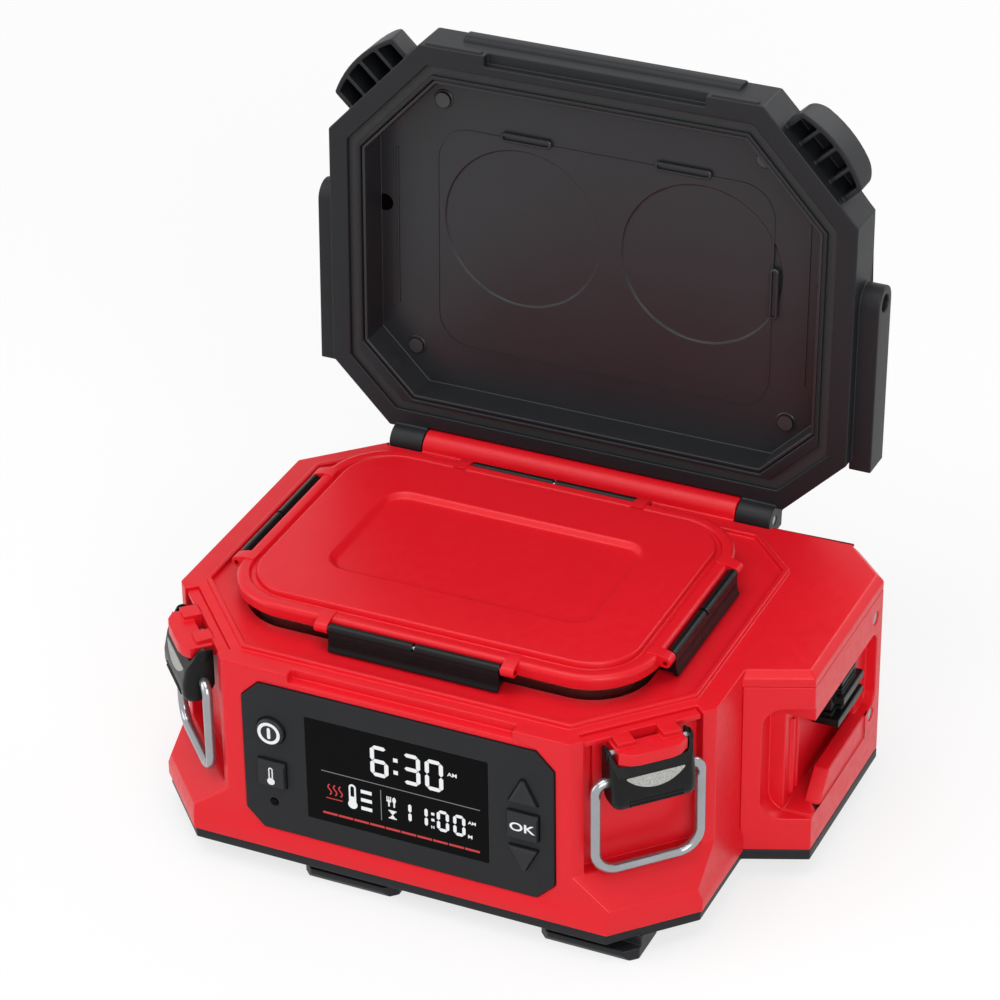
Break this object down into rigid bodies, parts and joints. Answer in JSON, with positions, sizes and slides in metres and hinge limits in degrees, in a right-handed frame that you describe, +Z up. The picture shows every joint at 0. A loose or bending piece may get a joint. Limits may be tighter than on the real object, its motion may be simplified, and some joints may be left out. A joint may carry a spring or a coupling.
{
  "type": "electric lunch box",
  "caption": "Electric lunch box with a hinged lid, corner draw latches, control panel, battery dock and a lift-out steel food container with a clip-down lid.",
  "frame": {"origin": "on the floor plane, under the centre of the main housing", "axes": "+X to the right along the control panel, +Y to the back towards the hinge, +Z up"},
  "size_m": [0.2815, 0.2288, 0.2954],
  "materials": {
    "red_plastic": "satin moulded",
    "well_plastic": "smooth satin",
    "black_plastic": "fine grain",
    "key_rubber": "matt",
    "seal_rubber": "matt",
    "clear_seal": "matt silicone",
    "grey_grip": "satin",
    "wire_steel": "polished wire",
    "screw_steel": "plated",
    "tub_steel": "brushed",
    "heater_coat": "warm orange coating",
    "sheet_metal": "plain",
    "element": "dull",
    "wool": "pressed fibre",
    "brass": "plain",
    "board": "lacquered",
    "display_glass": "glossy",
    "dark_part": "plain",
    "ceramic_part": "glazed",
    "cable": "satin"
  },
  "bodies": {
    "housing": {"base_plate": "black_plastic", "main_shell": "red_plastic", "well_liner": "well_plastic", "battery_bay": "red_plastic", "base_screws": "screw_steel", "bay_screws": "screw_steel", "heater_plate": "heater_coat", "heating_element": "element", "insulation_pad": "wool", "heat_shield": "sheet_metal", "temp_sensor": "brass", "thermal_fuse": "ceramic_part", "power_board": "board", "wiring": "cable", "panel_bezel": "black_plastic", "display_window": "display_glass", "display_module": "dark_part", "control_board": "board", "key_switches": "dark_part", "status_light": "display_glass", "terminal_block": "black_plastic", "contact_blades": "brass", "bracket_left": "red_plastic", "bracket_right": "red_plastic", "lever_pin_left": "screw_steel", "lever_pin_right": "screw_steel"},
    "lid": {"lid_shell": "black_plastic", "lid_liner": "black_plastic", "lid_seal": "seal_rubber", "lid_insulation": "wool", "lid_screws": "screw_steel", "hinge_pin": "screw_steel"},
    "left_lever": {"lever_left": "black_plastic", "grip_left": "grey_grip"},
    "right_lever": {"lever_right": "black_plastic", "grip_right": "grey_grip"},
    "left_bail": {"bail_left": "wire_steel"},
    "right_bail": {"bail_right": "wire_steel"},
    "power_key": {"power_button": "key_rubber"},
    "temp_key": {"temp_button": "key_rubber"},
    "up_key": {"up_button": "key_rubber"},
    "ok_key": {"ok_button": "key_rubber"},
    "down_key": {"down_button": "key_rubber"},
    "container": {"tub": "tub_steel"},
    "container_lid": {"tub_lid": "red_plastic", "tub_seal": "clear_seal", "flap_pins": "screw_steel"},
    "front_flap": {"flap_front": "black_plastic"},
    "rear_flap": {"flap_rear": "black_plastic"},
    "left_flap": {"flap_left": "black_plastic"},
    "right_flap": {"flap_right": "black_plastic"}
  },
  "joints": [
    {"name": "lid_hinge", "type": "hinge", "parent": "housing", "child": "lid", "pos_m": [0, 0.099, 0.103], "axis": [-1, 0, 0], "range_deg": [-92, 0]},
    {"name": "left_lever_pivot", "type": "hinge", "parent": "housing", "child": "left_lever", "pos_m": [-0.10305, -0.07239, 0.097], "axis": [0.6834, -0.73, 0], "range_deg": [-92, 0]},
    {"name": "left_bail_pivot", "type": "hinge", "parent": "left_lever", "child": "left_bail", "pos_m": [-0.10379, -0.07308, 0.084], "axis": [-0.6834, 0.73, 0], "range_deg": [0, 178]},
    {"name": "right_lever_pivot", "type": "hinge", "parent": "housing", "child": "right_lever", "pos_m": [0.10305, -0.07239, 0.097], "axis": [0.6834, 0.73, 0], "range_deg": [-92, 0]},
    {"name": "right_bail_pivot", "type": "hinge", "parent": "right_lever", "child": "right_bail", "pos_m": [0.10379, -0.07308, 0.084], "axis": [-0.6834, -0.73, 0], "range_deg": [0, 178]},
    {"name": "power_key_press", "type": "slide", "parent": "housing", "child": "power_key", "axis": [0, 1, 0], "range_m": [0, 0.0006], "stiffness_N_per_m": 400},
    {"name": "temp_key_press", "type": "slide", "parent": "housing", "child": "temp_key", "axis": [0, 1, 0], "range_m": [0, 0.0006], "stiffness_N_per_m": 400},
    {"name": "up_key_press", "type": "slide", "parent": "housing", "child": "up_key", "axis": [0, 1, 0], "range_m": [0, 0.0006], "stiffness_N_per_m": 400},
    {"name": "ok_key_press", "type": "slide", "parent": "housing", "child": "ok_key", "axis": [0, 1, 0], "range_m": [0, 0.0006], "stiffness_N_per_m": 400},
    {"name": "down_key_press", "type": "slide", "parent": "housing", "child": "down_key", "axis": [0, 1, 0], "range_m": [0, 0.0006], "stiffness_N_per_m": 400},
    {"name": "container_lift", "type": "slide", "parent": "housing", "child": "container", "axis": [0, 0, 1], "range_m": [0, 0.096]},
    {"name": "container_lid_lift", "type": "slide", "parent": "container", "child": "container_lid", "axis": [0, 0, 1], "range_m": [0, 0.05]},
    {"name": "front_flap_pivot", "type": "hinge", "parent": "container_lid", "child": "front_flap", "pos_m": [-0.0015, -0.069, 0.1134], "axis": [-1, 0, 0], "range_deg": [0, 100]},
    {"name": "rear_flap_pivot", "type": "hinge", "parent": "container_lid", "child": "rear_flap", "pos_m": [-0.0015, 0.073, 0.1134], "axis": [1, 0, 0], "range_deg": [0, 100]},
    {"name": "left_flap_pivot", "type": "hinge", "parent": "container_lid", "child": "left_flap", "pos_m": [-0.0995, 0.002, 0.1134], "axis": [0, 1, 0], "range_deg": [0, 100]},
    {"name": "right_flap_pivot", "type": "hinge", "parent": "container_lid", "child": "right_flap", "pos_m": [0.0965, 0.002, 0.1134], "axis": [0, -1, 0], "range_deg": [0, 100]}
  ]
}
